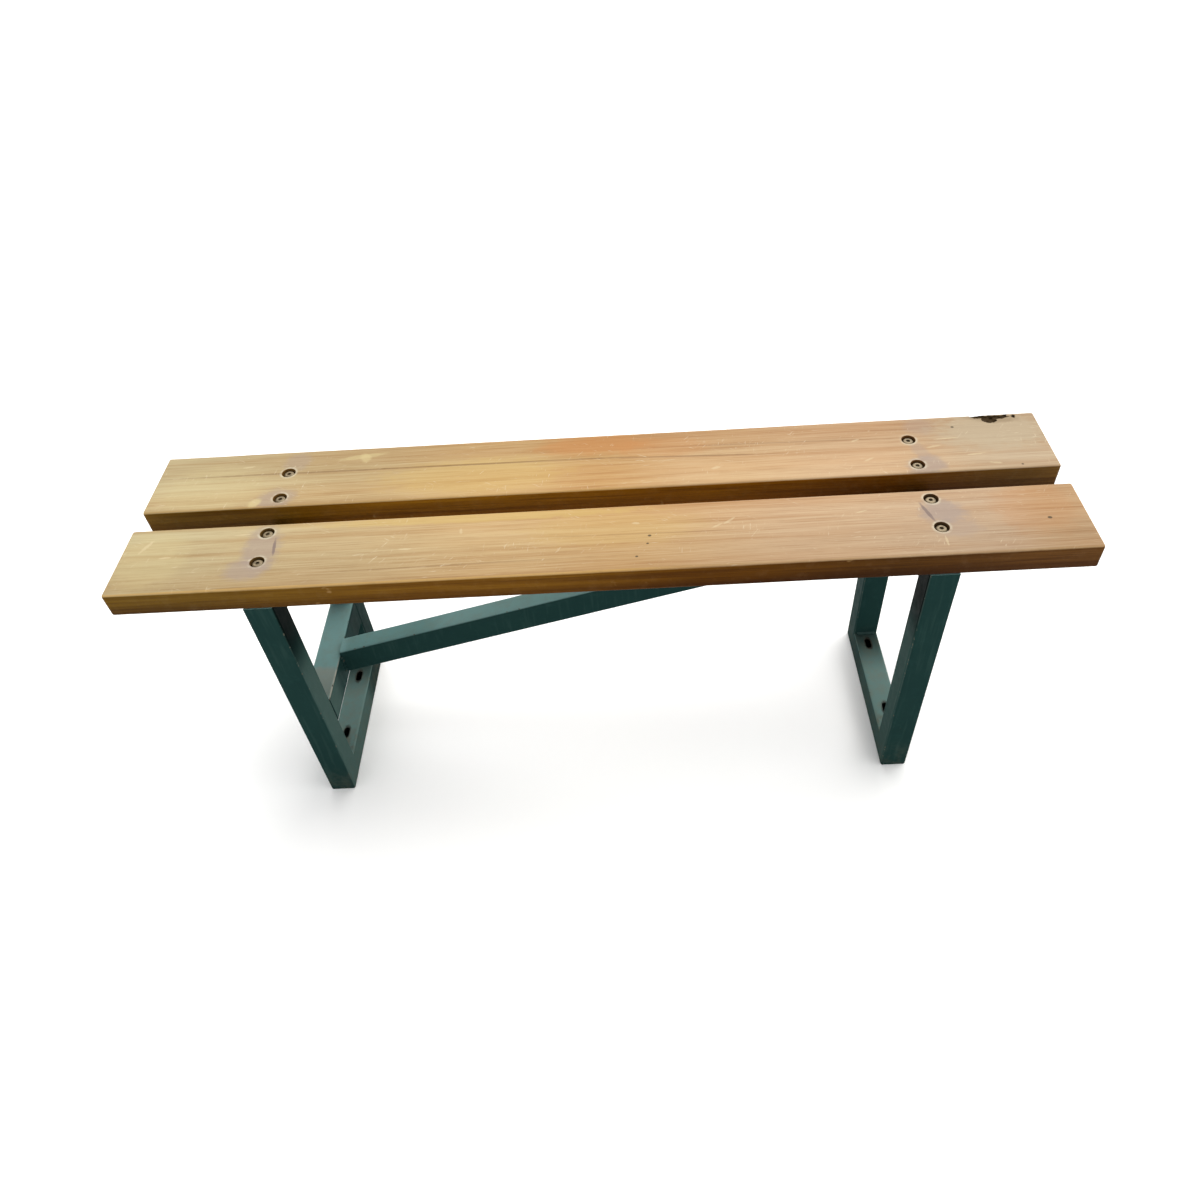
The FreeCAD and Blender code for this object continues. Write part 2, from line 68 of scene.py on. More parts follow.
# bolt pattern of the boards, read off the washers under the bolt heads
WASHER_LOW, WASHER_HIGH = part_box("right_head_washers")
WASHER_RADIUS = (WASHER_HIGH.x - WASHER_LOW.x) / 2
BOLT_X = (WASHER_HIGH.x + WASHER_LOW.x) / 2
OUTER_BOLT_Y = WASHER_HIGH.y - WASHER_RADIUS
BOLT_PITCH = 53 * MM
INNER_BOLT_Y = OUTER_BOLT_Y - BOLT_PITCH
RECESS_FLOOR = WASHER_LOW.z
RECESS_RADIUS = 9 * MM
HOLE_RADIUS = 4.5 * MM
SLOT_Y = 57 * MM
RIGHT_REAR_SLOT_Y = 75 * MM


# ---------------------------------------------------------------- mesh helpers

def object_from_bmesh(name, mesh_data):
    """Turns a bmesh into a linked object whose origin is the frame's origin."""
    mesh = bpy.data.meshes.new(name)
    mesh_data.to_mesh(mesh)
    mesh_data.free()
    made = bpy.data.objects.new(name, mesh)
    bpy.context.scene.collection.objects.link(made)
    return made


def bridge_loops(mesh_data, first, second):
    """Joins two closed rings of vertices, of the same count, with quads."""
    count = len(first)
    for step in range(count):
        after = (step + 1) % count
        mesh_data.faces.new((first[step], first[after], second[after], second[step]))


def carve(piece, cutter):
    """Cuts one closed mesh out of another for good, and deletes the cutter."""
    cut = piece.modifiers.new("Carve", "BOOLEAN")
    cut.operation = "DIFFERENCE"
    cut.solver = "EXACT"
    cut.object = cutter
    graph = bpy.context.evaluated_depsgraph_get()
    mesh = bpy.data.meshes.new_from_object(piece.evaluated_get(graph))
    piece.modifiers.clear()
    piece.data = mesh
    bpy.data.objects.remove(cutter)


def shade_by_angle(piece, degrees):
    """Smooth shading, with the edges that turn by more than the angle kept crisp."""
    mesh_data = bmesh.new()
    mesh_data.from_mesh(piece.data)
    for face in mesh_data.faces:
        face.smooth = True
    for edge in mesh_data.edges:
        turn = edge.calc_face_angle(math.pi)
        edge.smooth = turn < math.radians(degrees)
    mesh_data.to_mesh(piece.data)
    mesh_data.free()


# ---------------------------------------------------------------- timber boards

STATION_STEP = 3 * MM
END_STEPS = 5
ARC_STEPS = 6
FLAT_STEPS = (24, 7, 12, 7)          # top, back, underside, front
SHARPEST_ARRIS = 3.0 * MM
END_ROUNDING = 3.0 * MM


def section_points(half_width, half_height, radii):
    """A board's cross-section as (y, z) points, anticlockwise from its +Y +Z arris."""
    arcs = []
    for number, (sign_y, sign_z) in enumerate(((1, 1), (-1, 1), (-1, -1), (1, -1))):
        radius = radii[number]
        centre = Vector((sign_y * (half_width - radius), sign_z * (half_height - radius)))
        arc = []
        for step in range(ARC_STEPS + 1):
            angle = (number + step / ARC_STEPS) * math.pi / 2
            arc.append(centre + radius * Vector((math.cos(angle), math.sin(angle))))
        arcs.append(arc)
    points = []
    for number, arc in enumerate(arcs):
        points.extend(arc)
        start, end = arc[-1], arcs[(number + 1) % 4][0]
        steps = FLAT_STEPS[number]
        points.extend(start.lerp(end, step / steps) for step in range(1, steps))
    return points


def stations(half_length):
    """(x, inset) along a board: close together round the end arrises, then evenly spaced."""
    places = []
    for step in range(END_STEPS + 1):
        angle = step / END_STEPS * math.pi / 2
        inset = END_ROUNDING * (1 - math.sin(angle))
        places.append((-half_length + END_ROUNDING * (1 - math.cos(angle)), inset))
    straight = 2 * (half_length - END_ROUNDING)
    count = round(straight / STATION_STEP)
    for step in range(1, count):
        places.append((-half_length + END_ROUNDING + straight * step / count, 0.0))
    mirrored = [(-x, inset) for x, inset in reversed(places[:END_STEPS + 1])]
    return places + mirrored


def arris_radius(x, seed, wear):
    """Radius of a worn arris: never sharper than the new board's."""
    slow = noise.noise(Vector((x * 4, seed, 0.0)))
    quick = noise.noise(Vector((x * 28, seed, 5.0)))
    return SHARPEST_ARRIS + wear * (0.5 + 0.5 * slow + 0.18 * quick)


def wear_depth(place, normal, seed):
    """How much wood is gone at a point of the board's skin."""
    hollow = 0.10 * MM * (1 + noise.noise(place * 11 + Vector((seed, 0, 0))))
    fibre = Vector((place.x * 14, place.y * 260, place.z * 260 + seed))
    relief = 0.04 * MM * (1 + noise.noise(fibre))
    edge = max(0.0, 1 - max(abs(part) for part in normal)) / 0.29
    nick = noise.noise(Vector((place.x * 55 + seed, place.y * 160, place.z * 160)))
    chips = 0.7 * MM * max(0.0, nick - 0.40) * edge
    return hollow + relief + chips


def board_mesh(name, low, high, seed, top_wear):
    """A closed board with worn arrises; top_wear is for its back and front top arrises."""
    middle = (low + high) / 2
    half = (high - low) / 2
    mesh_data = bmesh.new()
    rings = []
    for x, inset in stations(half.x):
        radii = [arris_radius(x, seed, top_wear[0]), arris_radius(x, seed + 3, top_wear[1]),
                 arris_radius(x, seed + 6, 0.4 * MM), arris_radius(x, seed + 9, 0.4 * MM)]
        radii = [max(radius - inset, 0.3 * MM) for radius in radii]
        outline = section_points(half.y - inset, half.z - inset, radii)
        rings.append([mesh_data.verts.new((middle.x + x, middle.y + y, middle.z + z))
                      for y, z in outline])
    for ring, following in zip(rings, rings[1:]):
        bridge_loops(mesh_data, ring, following)
    mesh_data.faces.new(reversed(rings[0]))
    mesh_data.faces.new(rings[-1])
    bmesh.ops.recalc_face_normals(mesh_data, faces=mesh_data.faces)
    mesh_data.normal_update()
    moves = [(vertex, vertex.normal * wear_depth(vertex.co, vertex.normal, seed))
             for vertex in mesh_data.verts]
    for vertex, move in moves:
        vertex.co -= move
    return object_from_bmesh(name, mesh_data)


def bolt_hole_cutter(centres):
    """Counterbored bolt holes as turned plugs, their rims slightly eased and uneven."""
    around = 56
    over, under = SEAT_TOP + 2 * MM, FRONT_LOW.z - 2 * MM
    eased = 0.5 * MM
    profile = ((RECESS_RADIUS + eased + 2 * MM, over), (RECESS_RADIUS + eased, SEAT_TOP),
               (RECESS_RADIUS + 0.1 * MM, SEAT_TOP - eased * 1.3), (RECESS_RADIUS, SEAT_TOP - 2 * MM),
               (RECESS_RADIUS, RECESS_FLOOR), (HOLE_RADIUS, RECESS_FLOOR), (HOLE_RADIUS, under))
    mesh_data = bmesh.new()
    for centre_x, centre_y in centres:
        rings = []
        for level, (radius, z) in enumerate(profile):
            ring = []
            for step in range(around):
                angle = step / around * 2 * math.pi
                around_rim = Vector((centre_x * 31 + math.cos(angle), math.sin(angle), centre_y * 90))
                wobble = noise.noise(around_rim)
                rim = 0.35 * MM * max(0.0, wobble) if level in (1, 2) else 0.0
                ring.append(mesh_data.verts.new((centre_x + (radius + rim) * math.cos(angle),
                                                 centre_y + (radius + rim) * math.sin(angle), z)))
            rings.append(ring)
        for ring, following in zip(rings, rings[1:]):
            bridge_loops(mesh_data, ring, following)
        mesh_data.faces.new(reversed(rings[0]))
        mesh_data.faces.new(rings[-1])
    bmesh.ops.recalc_face_normals(mesh_data, faces=mesh_data.faces)
    return object_from_bmesh("bolt_hole_cutter", mesh_data)


def gouge_cutter(centre, half_sizes, turn):
    """A ragged lump that leaves a burnt hollow."""
    lump = bmesh.new()
    bmesh.ops.create_icosphere(lump, subdivisions=4, radius=1.0)
    for vertex in lump.verts:
        ragged = noise.noise(vertex.co * 1.7 + centre * 90) * 0.45
        ragged += noise.noise(vertex.co * 5.5 + centre * 90) * 0.22
        vertex.co *= 1 + ragged
    shape = Matrix.Translation(centre) @ Matrix.Rotation(turn, 4, "Z")
    shape = shape @ Matrix.Diagonal((*half_sizes, 1.0))
    bmesh.ops.transform(lump, matrix=shape, verts=lump.verts)
    return object_from_bmesh("gouge_cutter", lump)


def bolt_centres(rows):
    return [(side * BOLT_X, y) for side in (-1, 1) for y in rows]


def finish_board(board, node, material):
    shade_by_angle(board, 32)
    board.data.materials.clear()
    board.data.materials.append(material)
    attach(board, "root")
    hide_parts(node)


# burnt hollows on the rear board's back arris, near its right-hand end
BURN = Vector((0.541, REAR_HIGH.y - 9 * MM, SEAT_TOP))
BURN_HOLLOWS = (
    (BURN + Vector((-18 * MM, 5.0 * MM, 1.0 * MM)), (12 * MM, 6.0 * MM, 4.4 * MM), -0.30),
    (BURN + Vector((-4 * MM, -2.5 * MM, 1.0 * MM)), (12 * MM, 9.0 * MM, 5.4 * MM), -0.75),
    (BURN + Vector((12 * MM, 1.5 * MM, 0.8 * MM)), (12 * MM, 5.5 * MM, 4.0 * MM), 0.10),
    (BURN + Vector((30 * MM, 1.0 * MM, 0.4 * MM)), (3.0 * MM, 3.6 * MM, 2.8 * MM), 0.0),
)


def make_front_board(material):
    board = board_mesh("front_board", FRONT_LOW, FRONT_HIGH, 2.0, (1.2 * MM, 3.4 * MM))
    carve(board, bolt_hole_cutter(bolt_centres((-OUTER_BOLT_Y, -INNER_BOLT_Y))))
    finish_board(board, "front_plank", material)


def make_rear_board(material):
    board = board_mesh("rear_board", REAR_LOW, REAR_HIGH, 47.0, (1.4 * MM, 1.8 * MM))
    carve(board, bolt_hole_cutter(bolt_centres((INNER_BOLT_Y, OUTER_BOLT_Y))))
    for hollow in BURN_HOLLOWS:
        carve(board, gouge_cutter(*hollow))
    finish_board(board, "rear_plank", material)


# ---------------------------------------------------------------- weld beads

WELD_LEG = 3.5 * MM
RIPPLE_PITCH = 2.3 * MM
TUBE_CORNER = 4 * MM


def weld_bead(mesh_data, corner, leg_one, leg_two, length, seed):
    """One rippled fillet along an inside corner; its back is sunk into the two tubes."""
    along = leg_one.cross(leg_two)
    across = 9
    count = round(length / (0.4 * MM))
    sunk = -0.3 * MM
    rings = []
    for station in range(count + 1):
        s = station / count
        ending = min(1.0, min(s, 1 - s) * length / (1.6 * MM))
        taper = 0.25 + 0.75 * math.sqrt(ending)
        ring = []
        for step in range(across + 1):
            turn = step / across * math.pi / 2
            chevron = 0.55 * math.sin(turn * 2)
            phase = (s * length / RIPPLE_PITCH + chevron) * 2 * math.pi
            ripple = 0.09 * (1 - abs(math.sin(phase / 2))) - 0.05
            lump = 0.10 * noise.noise(Vector((s * length * 260, turn * 1.4, seed)))
            bulge = 1 / (math.cos(turn) + math.sin(turn)) * (1 + 0.22 * math.sin(2 * turn))
            reach = WELD_LEG * taper * bulge * (1 + ripple + lump)
            point = corner + along * (s - 0.5) * length
            point = point + leg_one * reach * math.cos(turn) + leg_two * reach * math.sin(turn)
            ring.append(mesh_data.verts.new(point))
        hidden = corner + along * (s - 0.5) * length + (leg_one + leg_two) * sunk
        start = ring[0].co + leg_two * sunk
        end = ring[-1].co + leg_one * sunk
        ring = [mesh_data.verts.new(hidden), mesh_data.verts.new(start), *ring, mesh_data.verts.new(end)]
        rings.append(ring)
    for ring, following in zip(rings, rings[1:]):
        bridge_loops(mesh_data, ring, following)
    mesh_data.faces.new(reversed(rings[0]))
    mesh_data.faces.new(rings[-1])


def finish_beads(name, node, mesh_data, material):
    bmesh.ops.recalc_face_normals(mesh_data, faces=mesh_data.faces)
    beads = object_from_bmesh(name, mesh_data)
    shade_by_angle(beads, 50)
    beads.data.materials.append(material)
    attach(beads, "root")
    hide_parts(node)


def cross_beads(mesh_data, node, levels, seed):
    """Beads along X where cross tubes meet the legs; levels are (height, up or down)."""
    low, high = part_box(node)
    x, length = (low.x + high.x) / 2, high.x - low.x
    for side, y in ((-1, low.y), (1, high.y)):
        for z, up in levels:
            corner = Vector((x, y, z))
            weld_bead(mesh_data, corner, Vector((0, -side, 0)), Vector((0, 0, up)), length,
                      seed + z * 9 + y)


def make_corner_beads(side_name, material):
    node = f"{side_name}_corner_welds"
    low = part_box(node)[0]
    mesh_data = bmesh.new()
    cross_beads(mesh_data, node, ((low.z, 1),), low.x * 50)
    finish_beads(f"{side_name}_corner_beads", node, mesh_data, material)


def make_middle_rail_beads(material):
    mesh_data = bmesh.new()
    cross_beads(mesh_data, "middle_rail_welds", ((RAIL_HIGH.z, 1), (RAIL_LOW.z, -1)), 4.0)
    finish_beads("middle_rail_beads", "middle_rail_welds", mesh_data, material)


def make_brace_beads(material):
    """Upright beads on both cheeks of the diagonal brace, at both of its ends."""
    low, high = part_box("brace_welds")
    brace_low, brace_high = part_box("diagonal_brace")
    bearer_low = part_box("right_seat_bearer")[0]
    spans = ((brace_low.x, 1, low.z, RAIL_HIGH.z - TUBE_CORNER),
             (brace_high.x, -1, bearer_low.z + TUBE_CORNER, high.z))
    mesh_data = bmesh.new()
    for cheek, y in ((-1, brace_low.y), (1, brace_high.y)):
        for x, inward, bottom, top in spans:
            corner = Vector((x, y, (bottom + top) / 2))
            weld_bead(mesh_data, corner, Vector((inward, 0, 0)), Vector((0, cheek, 0)),
                      top - bottom, x * 20 + y * 300)
    finish_beads("brace_beads", "brace_welds", mesh_data, material)


# ---------------------------------------------------------------- shader helpers

LIGHT_LEVEL = 1.65                   # brightness of the light; tones are divided by it again


def linear_value(display):
    """One channel of a colour, from its 0 to 255 display value to the shader's linear value."""
    share = display / 255
    return share / 12.92 if share <= 0.04045 else ((share + 0.055) / 1.055) ** 2.4


def tone(red, green, blue):
    """The colour that shows with these display values on a face turned to this scene's light."""
    return (*(linear_value(channel) / LIGHT_LEVEL for channel in (red, green, blue)), 1.0)


def tint(red, green, blue):
    """A filter colour to multiply by, given in display values."""
    return (*(linear_value(channel) for channel in (red, green, blue)), 1.0)


class Shader:
    """Builds one material's nodes. Each method adds a node and returns its output socket."""

    def __init__(self, name):
        self.material = bpy.data.materials.new(name)
        self.material.use_nodes = True
        self.tree = self.material.node_tree
        self.tree.nodes.clear()
        self.place = self.add("ShaderNodeTexCoord", {}, "Object")
        self.x, self.y, self.z = self.split(self.place)
        normal = self.add("ShaderNodeNewGeometry", {}, "Normal")
        self.normal_x, self.normal_y, self.normal_z = self.split(normal)

    def add(self, kind, inputs, output=0, **settings):
        node = self.tree.nodes.new(kind)
        for name, value in settings.items():
            setattr(node, name, value)
        for key, value in inputs.items():
            socket = node.inputs[key]
            if isinstance(value, bpy.types.NodeSocket):
                self.tree.links.new(value, socket)
            else:
                socket.default_value = value
        return node.outputs[output]

    def split(self, vector):
        node = self.tree.nodes.new("ShaderNodeSeparateXYZ")
        self.tree.links.new(vector, node.inputs[0])
        return node.outputs[0], node.outputs[1], node.outputs[2]

    def math(self, operation, first, second=0.0, clamp=False):
        return self.add("ShaderNodeMath", {0: first, 1: second}, operation=operation, use_clamp=clamp)

    def times(self, *factors):
        product = factors[0]
        for factor in factors[1:]:
            product = self.math("MULTIPLY", product, factor)
        return product

    def most(self, *values):
        result = values[0]
        for value in values[1:]:
            result = self.math("MAXIMUM", result, value)
        return result

    def fade(self, value, start, end, low=0.0, high=1.0):
        """Goes smoothly from low to high as value goes from start to end."""
        inputs = {0: value, 1: start, 2: end, 3: low, 4: high}
        return self.add("ShaderNodeMapRange", inputs, interpolation_type="SMOOTHSTEP")

    def blend(self, factor, first, second, way="MIX"):
        """Mixes two colours; sockets 6 and 7 of the Mix node are its colour inputs."""
        inputs = {0: factor, 6: first, 7: second}
        return self.add("ShaderNodeMix", inputs, 2, data_type="RGBA", blend_type=way)

    def stretched(self, scale_x, scale_y, scale_z, turn=0.0, shift=0.0):
        """Object coordinates turned about Z, then scaled: a small scale draws marks out."""
        turned = self.add("ShaderNodeMapping", {"Vector": self.place, "Rotation": (0, 0, -turn)})
        inputs = {"Vector": turned, "Scale": (scale_x, scale_y, scale_z), "Location": (shift, shift, shift)}
        return self.add("ShaderNodeMapping", inputs)

    def noise(self, vector, detail=3.0, roughness=0.55):
        inputs = {"Vector": vector, "Scale": 1.0, "Detail": detail, "Roughness": roughness}
        return self.add("ShaderNodeTexNoise", inputs)

    def ramp(self, value, stops):
        """A colour ramp; each stop is (position, colour)."""
        node = self.tree.nodes.new("ShaderNodeValToRGB")
        self.tree.links.new(value, node.inputs[0])
        ramp = node.color_ramp
        ramp.interpolation = "EASE"
        while len(ramp.elements) < len(stops):
            ramp.elements.new(0.5)
        for element, (position, colour) in zip(ramp.elements, stops):
            element.position = position
            element.color = colour
        return node.outputs[0]

    def edge(self, start, end):
        """1 where the skin turns a corner, from the normal not being along any axis."""
        parts = [self.math("ABSOLUTE", part) for part in (self.normal_x, self.normal_y, self.normal_z)]
        return self.fade(self.math("SUBTRACT", 1.0, self.most(*parts)), start, end)

    def spot(self, centre, half_sizes, turn, ragged, amount, soft):
        """1 inside an ellipse seen from above, with a ragged, soft rim."""
        inputs = {"Vector": self.place, "Location": (*centre, 0.0), "Rotation": (0, 0, turn),
                  "Scale": (*half_sizes, 1000.0)}
        local = self.add("ShaderNodeMapping", inputs, vector_type="TEXTURE")
        away = self.add("ShaderNodeVectorMath", {0: local}, "Value", operation="LENGTH")
        wobble = self.math("MULTIPLY_ADD", ragged, amount)
        wobble.node.inputs[2].default_value = -amount / 2
        away = self.math("ADD", away, wobble)
        return self.fade(away, 1.0 + soft / 2, 1.0 - soft / 2)

    def bump(self, height, distance, strength, below=None):
        inputs = {"Height": height, "Distance": distance, "Strength": strength}
        if below is not None:
            inputs["Normal"] = below
        return self.add("ShaderNodeBump", inputs)

    def close(self, colour, roughness, normal, **fixed):
        """Ends the material; the fixed values go straight on the shader's own sockets."""
        inputs = {"Base Color": colour, "Roughness": roughness, "Normal": normal}
        for name, value in fixed.items():
            inputs[name.replace("_", " ")] = value
        surface = self.add("ShaderNodeBsdfPrincipled", inputs)
        ending = self.tree.nodes.new("ShaderNodeOutputMaterial")
        self.tree.links.new(surface, ending.inputs["Surface"])
        return self.material


# ---------------------------------------------------------------- timber finish

TIMBER_SHINE = 0.025
BURN_DEPTH = 5 * MM


def bolt_distance(shader):
    """Distance from the nearest bolt axis, over the whole eight-bolt pattern."""
    row_middle = (INNER_BOLT_Y + OUTER_BOLT_Y) / 2
    from_x = shader.math("SUBTRACT", shader.math("ABSOLUTE", shader.x), BOLT_X)
    from_row = shader.math("SUBTRACT", shader.math("ABSOLUTE", shader.y), row_middle)
    from_y = shader.math("SUBTRACT", shader.math("ABSOLUTE", from_row), BOLT_PITCH / 2)
    squares = shader.math("ADD", shader.times(from_x, from_x), shader.times(from_y, from_y))
    return shader.math("SQRT", squares)


def grain(shader, seed):
    """Streaks along the board at three widths, 0 to 1 about a half."""
    broad = shader.noise(shader.stretched(1.1, 26, 26, shift=seed), detail=2)
    bands = shader.noise(shader.stretched(2.6, 120, 120, shift=seed + 3), detail=4, roughness=0.6)
    fibres = shader.noise(shader.stretched(11, 620, 620, shift=seed + 7), detail=3, roughness=0.65)
    return broad, bands, fibres


def scuffs(shader, turn, seed, length=0.9):
    """Sparse short light scratches, drawn out along one direction."""
    lines = shader.noise(shader.stretched(40 / length, 520, 60, turn=turn, shift=seed), detail=2)
    where = shader.noise(shader.stretched(9, 16, 16, shift=seed + 11), detail=2)
    return shader.times(shader.fade(lines, 0.66, 0.74), shader.fade(where, 0.5, 0.64))


def bleached_top(shader, look, streaks, along):
    """The upper face along the board, darker off its middle and with the grain."""
    broad, bands, fibres = streaks
    top = shader.ramp(along, look["along"])
    off_middle = shader.fade(shader.math("ABSOLUTE", shader.y), 0.040, 0.115)
    top = shader.blend(shader.times(off_middle, 0.48), top, tint(210, 196, 180), "MULTIPLY")
    top = shader.blend(shader.fade(broad, 0.35, 0.72, 0.0, 0.5), top, tint(236, 208, 176), "MULTIPLY")
    top = shader.blend(shader.fade(bands, 0.42, 0.78, 0.0, 0.52), top, tint(214, 184, 146), "MULTIPLY")
    top = shader.blend(shader.fade(fibres, 0.46, 0.75, 0.0, 0.42), top, tint(190, 160, 126), "MULTIPLY")
    return shader.blend(shader.fade(fibres, 0.50, 0.30, 0.0, 0.16), top, tone(246, 226, 188))


def add_patches(shader, look, top, ragged):
    """Grey, pale and coloured wear, each in its place."""
    for centre, half_sizes, turn, colour, strength in look["patches"]:
        mask = shader.spot(centre, half_sizes, turn, ragged, 1.1, 0.7)
        top = shader.blend(shader.times(mask, strength), top, colour)
    return top


def add_grain_lines(shader, look, top, height, bands, ragged):
    """Dark open grain along the board, a little sunk."""
    for start, end, half_width, strength in look["grain_lines"]:
        middle, half_length, turn = line_shape(start, end)
        line = shader.spot(middle, (half_length, half_width), turn, ragged, 0.9, 0.8)
        line = shader.times(line, shader.fade(bands, 0.30, 0.62, 0.35, 1.0), strength)
        top = shader.blend(line, top, tone(112, 74, 42))
        height = shader.math("SUBTRACT", height, shader.times(line, 0.8))
    return top, height


def add_scratches(shader, look, top, speckle):
    """Light scratches in four directions, and the larger flecks, each in its place."""
    scratch = shader.most(scuffs(shader, 0.12, 1.0), scuffs(shader, 0.9, 4.0, 0.6),
                          scuffs(shader, -0.5, 8.0, 0.7), scuffs(shader, 1.45, 15.0, 0.6))
    top = shader.blend(shader.times(scratch, 0.55), top, tone(247, 229, 196))
    for centre, (half_length, half_width), turn in look["flecks"]:
        slim = (half_length * 0.8, half_width * 0.75)
        mask = shader.spot(centre, slim, turn, speckle, 1.5, 0.5)
        top = shader.blend(shader.times(mask, 0.38), top, tone(244, 224, 182))
    return top


def add_specks(shader, look, top, height, ragged):
    """Small dark pits."""
    for centre, size in look["specks"]:
        mask = shader.spot(centre, (size, size * 0.8), 0.0, ragged, 0.5, 0.5)
        top = shader.blend(shader.times(mask, 0.85), top, tone(70, 58, 40))
        height = shader.math("SUBTRACT", height, mask)
    return top, height


def add_halos(shader, top, away, ragged):
    """A pale ring of bare wood round each bolt recess."""
    halo = shader.times(shader.fade(away, 0.0135, 0.0105), shader.fade(away, 0.0078, 0.0092))
    halo = shader.times(halo, shader.fade(ragged, 0.34, 0.60))
    return shader.blend(shader.times(halo, 0.55), top, tone(236, 228, 202))


def varnished_and_shaded_side(shader, look, streaks, along):
    """The sides along the board: dark varnish with painted shade, darker with the grain, more painted shade
    low down, and a few scrapes.
    """
    _, bands, fibres = streaks
    side = shader.ramp(along, look["side_along"])
    side = shader.blend(shader.fade(bands, 0.35, 0.7, 0.0, 0.55), side, tint(150, 118, 84), "MULTIPLY")
    side = shader.blend(shader.fade(fibres, 0.45, 0.75, 0.0, 0.45), side, tint(150, 120, 90), "MULTIPLY")
    # painted shade: the sides darken towards their lower edge
    low_part = shader.fade(shader.z, SEAT_TOP - 0.012, SEAT_TOP - 0.030)
    side = shader.blend(shader.times(low_part, 0.8), side, tint(178, 160, 146), "MULTIPLY")
    scrape = shader.times(scuffs(shader, 0.05, 21.0), 0.5)
    return shader.blend(scrape, side, tone(190, 150, 98))


def add_worn_arris(shader, look, colour, ragged):
    """Bare wood along the top arrises, stronger on the left half."""
    arris = shader.times(shader.edge(0.02, 0.12), shader.fade(shader.normal_z, 0.30, 0.75),
                         shader.fade(ragged, 0.20, 0.50, 0.5, 1.0),
                         shader.fade(shader.x, 0.0, 0.15, 1.0, 0.25))
    return shader.blend(shader.times(arris, look["arris"]), colour, tone(232, 186, 112))


def add_recess_dirt(shader, colour, away):
    """Brown dirt inside the bolt recesses."""
    below_top = shader.fade(shader.z, SEAT_TOP - 0.0004, SEAT_TOP - 0.0016)
    inside = shader.times(shader.fade(away, 0.0100, 0.0090), below_top)
    return shader.blend(shader.times(inside, 0.5), colour, tone(110, 90, 64))


def add_burn(shader, colour, ragged):
    """Charred wood in the burnt hollows, and a scorched rim round them."""
    near_top = shader.fade(shader.z, SEAT_TOP - 1.5 * BURN_DEPTH, SEAT_TOP - BURN_DEPTH)
    char = shader.times(near_top, shader.fade(shader.z, SEAT_TOP - 0.0005, SEAT_TOP - 0.0013))
    near = shader.spot((BURN.x, BURN.y), (0.042, 0.021), 0.0, ragged, 0.3, 0.2)
    colour = shader.blend(shader.times(char, near), colour, tone(26, 18, 13))
    scorch = shader.spot((BURN.x, BURN.y), (0.034, 0.010), -0.1, ragged, 1.2, 0.6)
    return shader.blend(shader.times(scorch, near_top, 0.35), colour, tone(120, 96, 62))


def timber(name, look):
    """Worn varnished timber: bleached and scratched on top; dark varnish on its sides, deepened with
    painted shade.
    """
    shader = Shader(name)
    streaks = grain(shader, look["seed"])
    _, bands, fibres = streaks
    ragged = shader.noise(shader.stretched(60, 110, 60, shift=look["seed"]), detail=4, roughness=0.65)
    speckle = shader.noise(shader.stretched(210, 420, 210, shift=look["seed"]), detail=3)
    along = shader.fade(shader.x, FRONT_LOW.x, FRONT_HIGH.x)
    along.node.interpolation_type = "LINEAR"
    away = bolt_distance(shader)

    height = shader.math("ADD", shader.times(bands, 0.5), fibres)
    top = bleached_top(shader, look, streaks, along)
    top = add_patches(shader, look, top, ragged)
    top, height = add_grain_lines(shader, look, top, height, bands, ragged)
    top = add_scratches(shader, look, top, speckle)
    top, height = add_specks(shader, look, top, height, ragged)
    top = add_halos(shader, top, away, ragged)
    dusty_top = shader.blend(0.05, top, tone(236, 226, 208))
    side = varnished_and_shaded_side(shader, look, streaks, along)

    # faces turned away from the sky take the side colour: dark varnish and painted shade
    skyward = shader.fade(shader.normal_z, 0.28, 0.80)
    uneven = shader.times(shader.math("SUBTRACT", ragged, 0.5), 0.22)
    colour = shader.blend(shader.math("ADD", skyward, uneven, clamp=True), side, dusty_top)
    colour = add_worn_arris(shader, look, colour, ragged)
    colour = add_recess_dirt(shader, colour, away)
    if look["burnt"]:
        colour = add_burn(shader, colour, ragged)

    gloss = shader.fade(ragged, 0.25, 0.8, 0.40, 0.60)
    gloss = shader.math("SUBTRACT", gloss, shader.times(shader.math("SUBTRACT", 1.0, skyward), 0.10))
    dents = shader.bump(shader.noise(shader.stretched(30, 60, 30), detail=3), 0.5 * MM, 0.35)
    normal = shader.bump(height, 0.25 * MM, 0.6, dents)
    return shader.close(colour, gloss, normal, Specular_IOR_Level=TIMBER_SHINE)


def line_shape(start, end):
    """Middle, half length and direction of a line from start to end."""
    start, end = Vector(start), Vector(end)
    reach = end - start
    return tuple((start + end) / 2), reach.length / 2, math.atan2(reach.y, reach.x)


GREY_WEAR = tone(176, 158, 148)
DARK_WEAR = tone(138, 118, 112)
PALE_WEAR = tone(226, 206, 150)
YELLOW_TINT = tone(226, 192, 112)
ORANGE_TINT = tone(214, 142, 76)

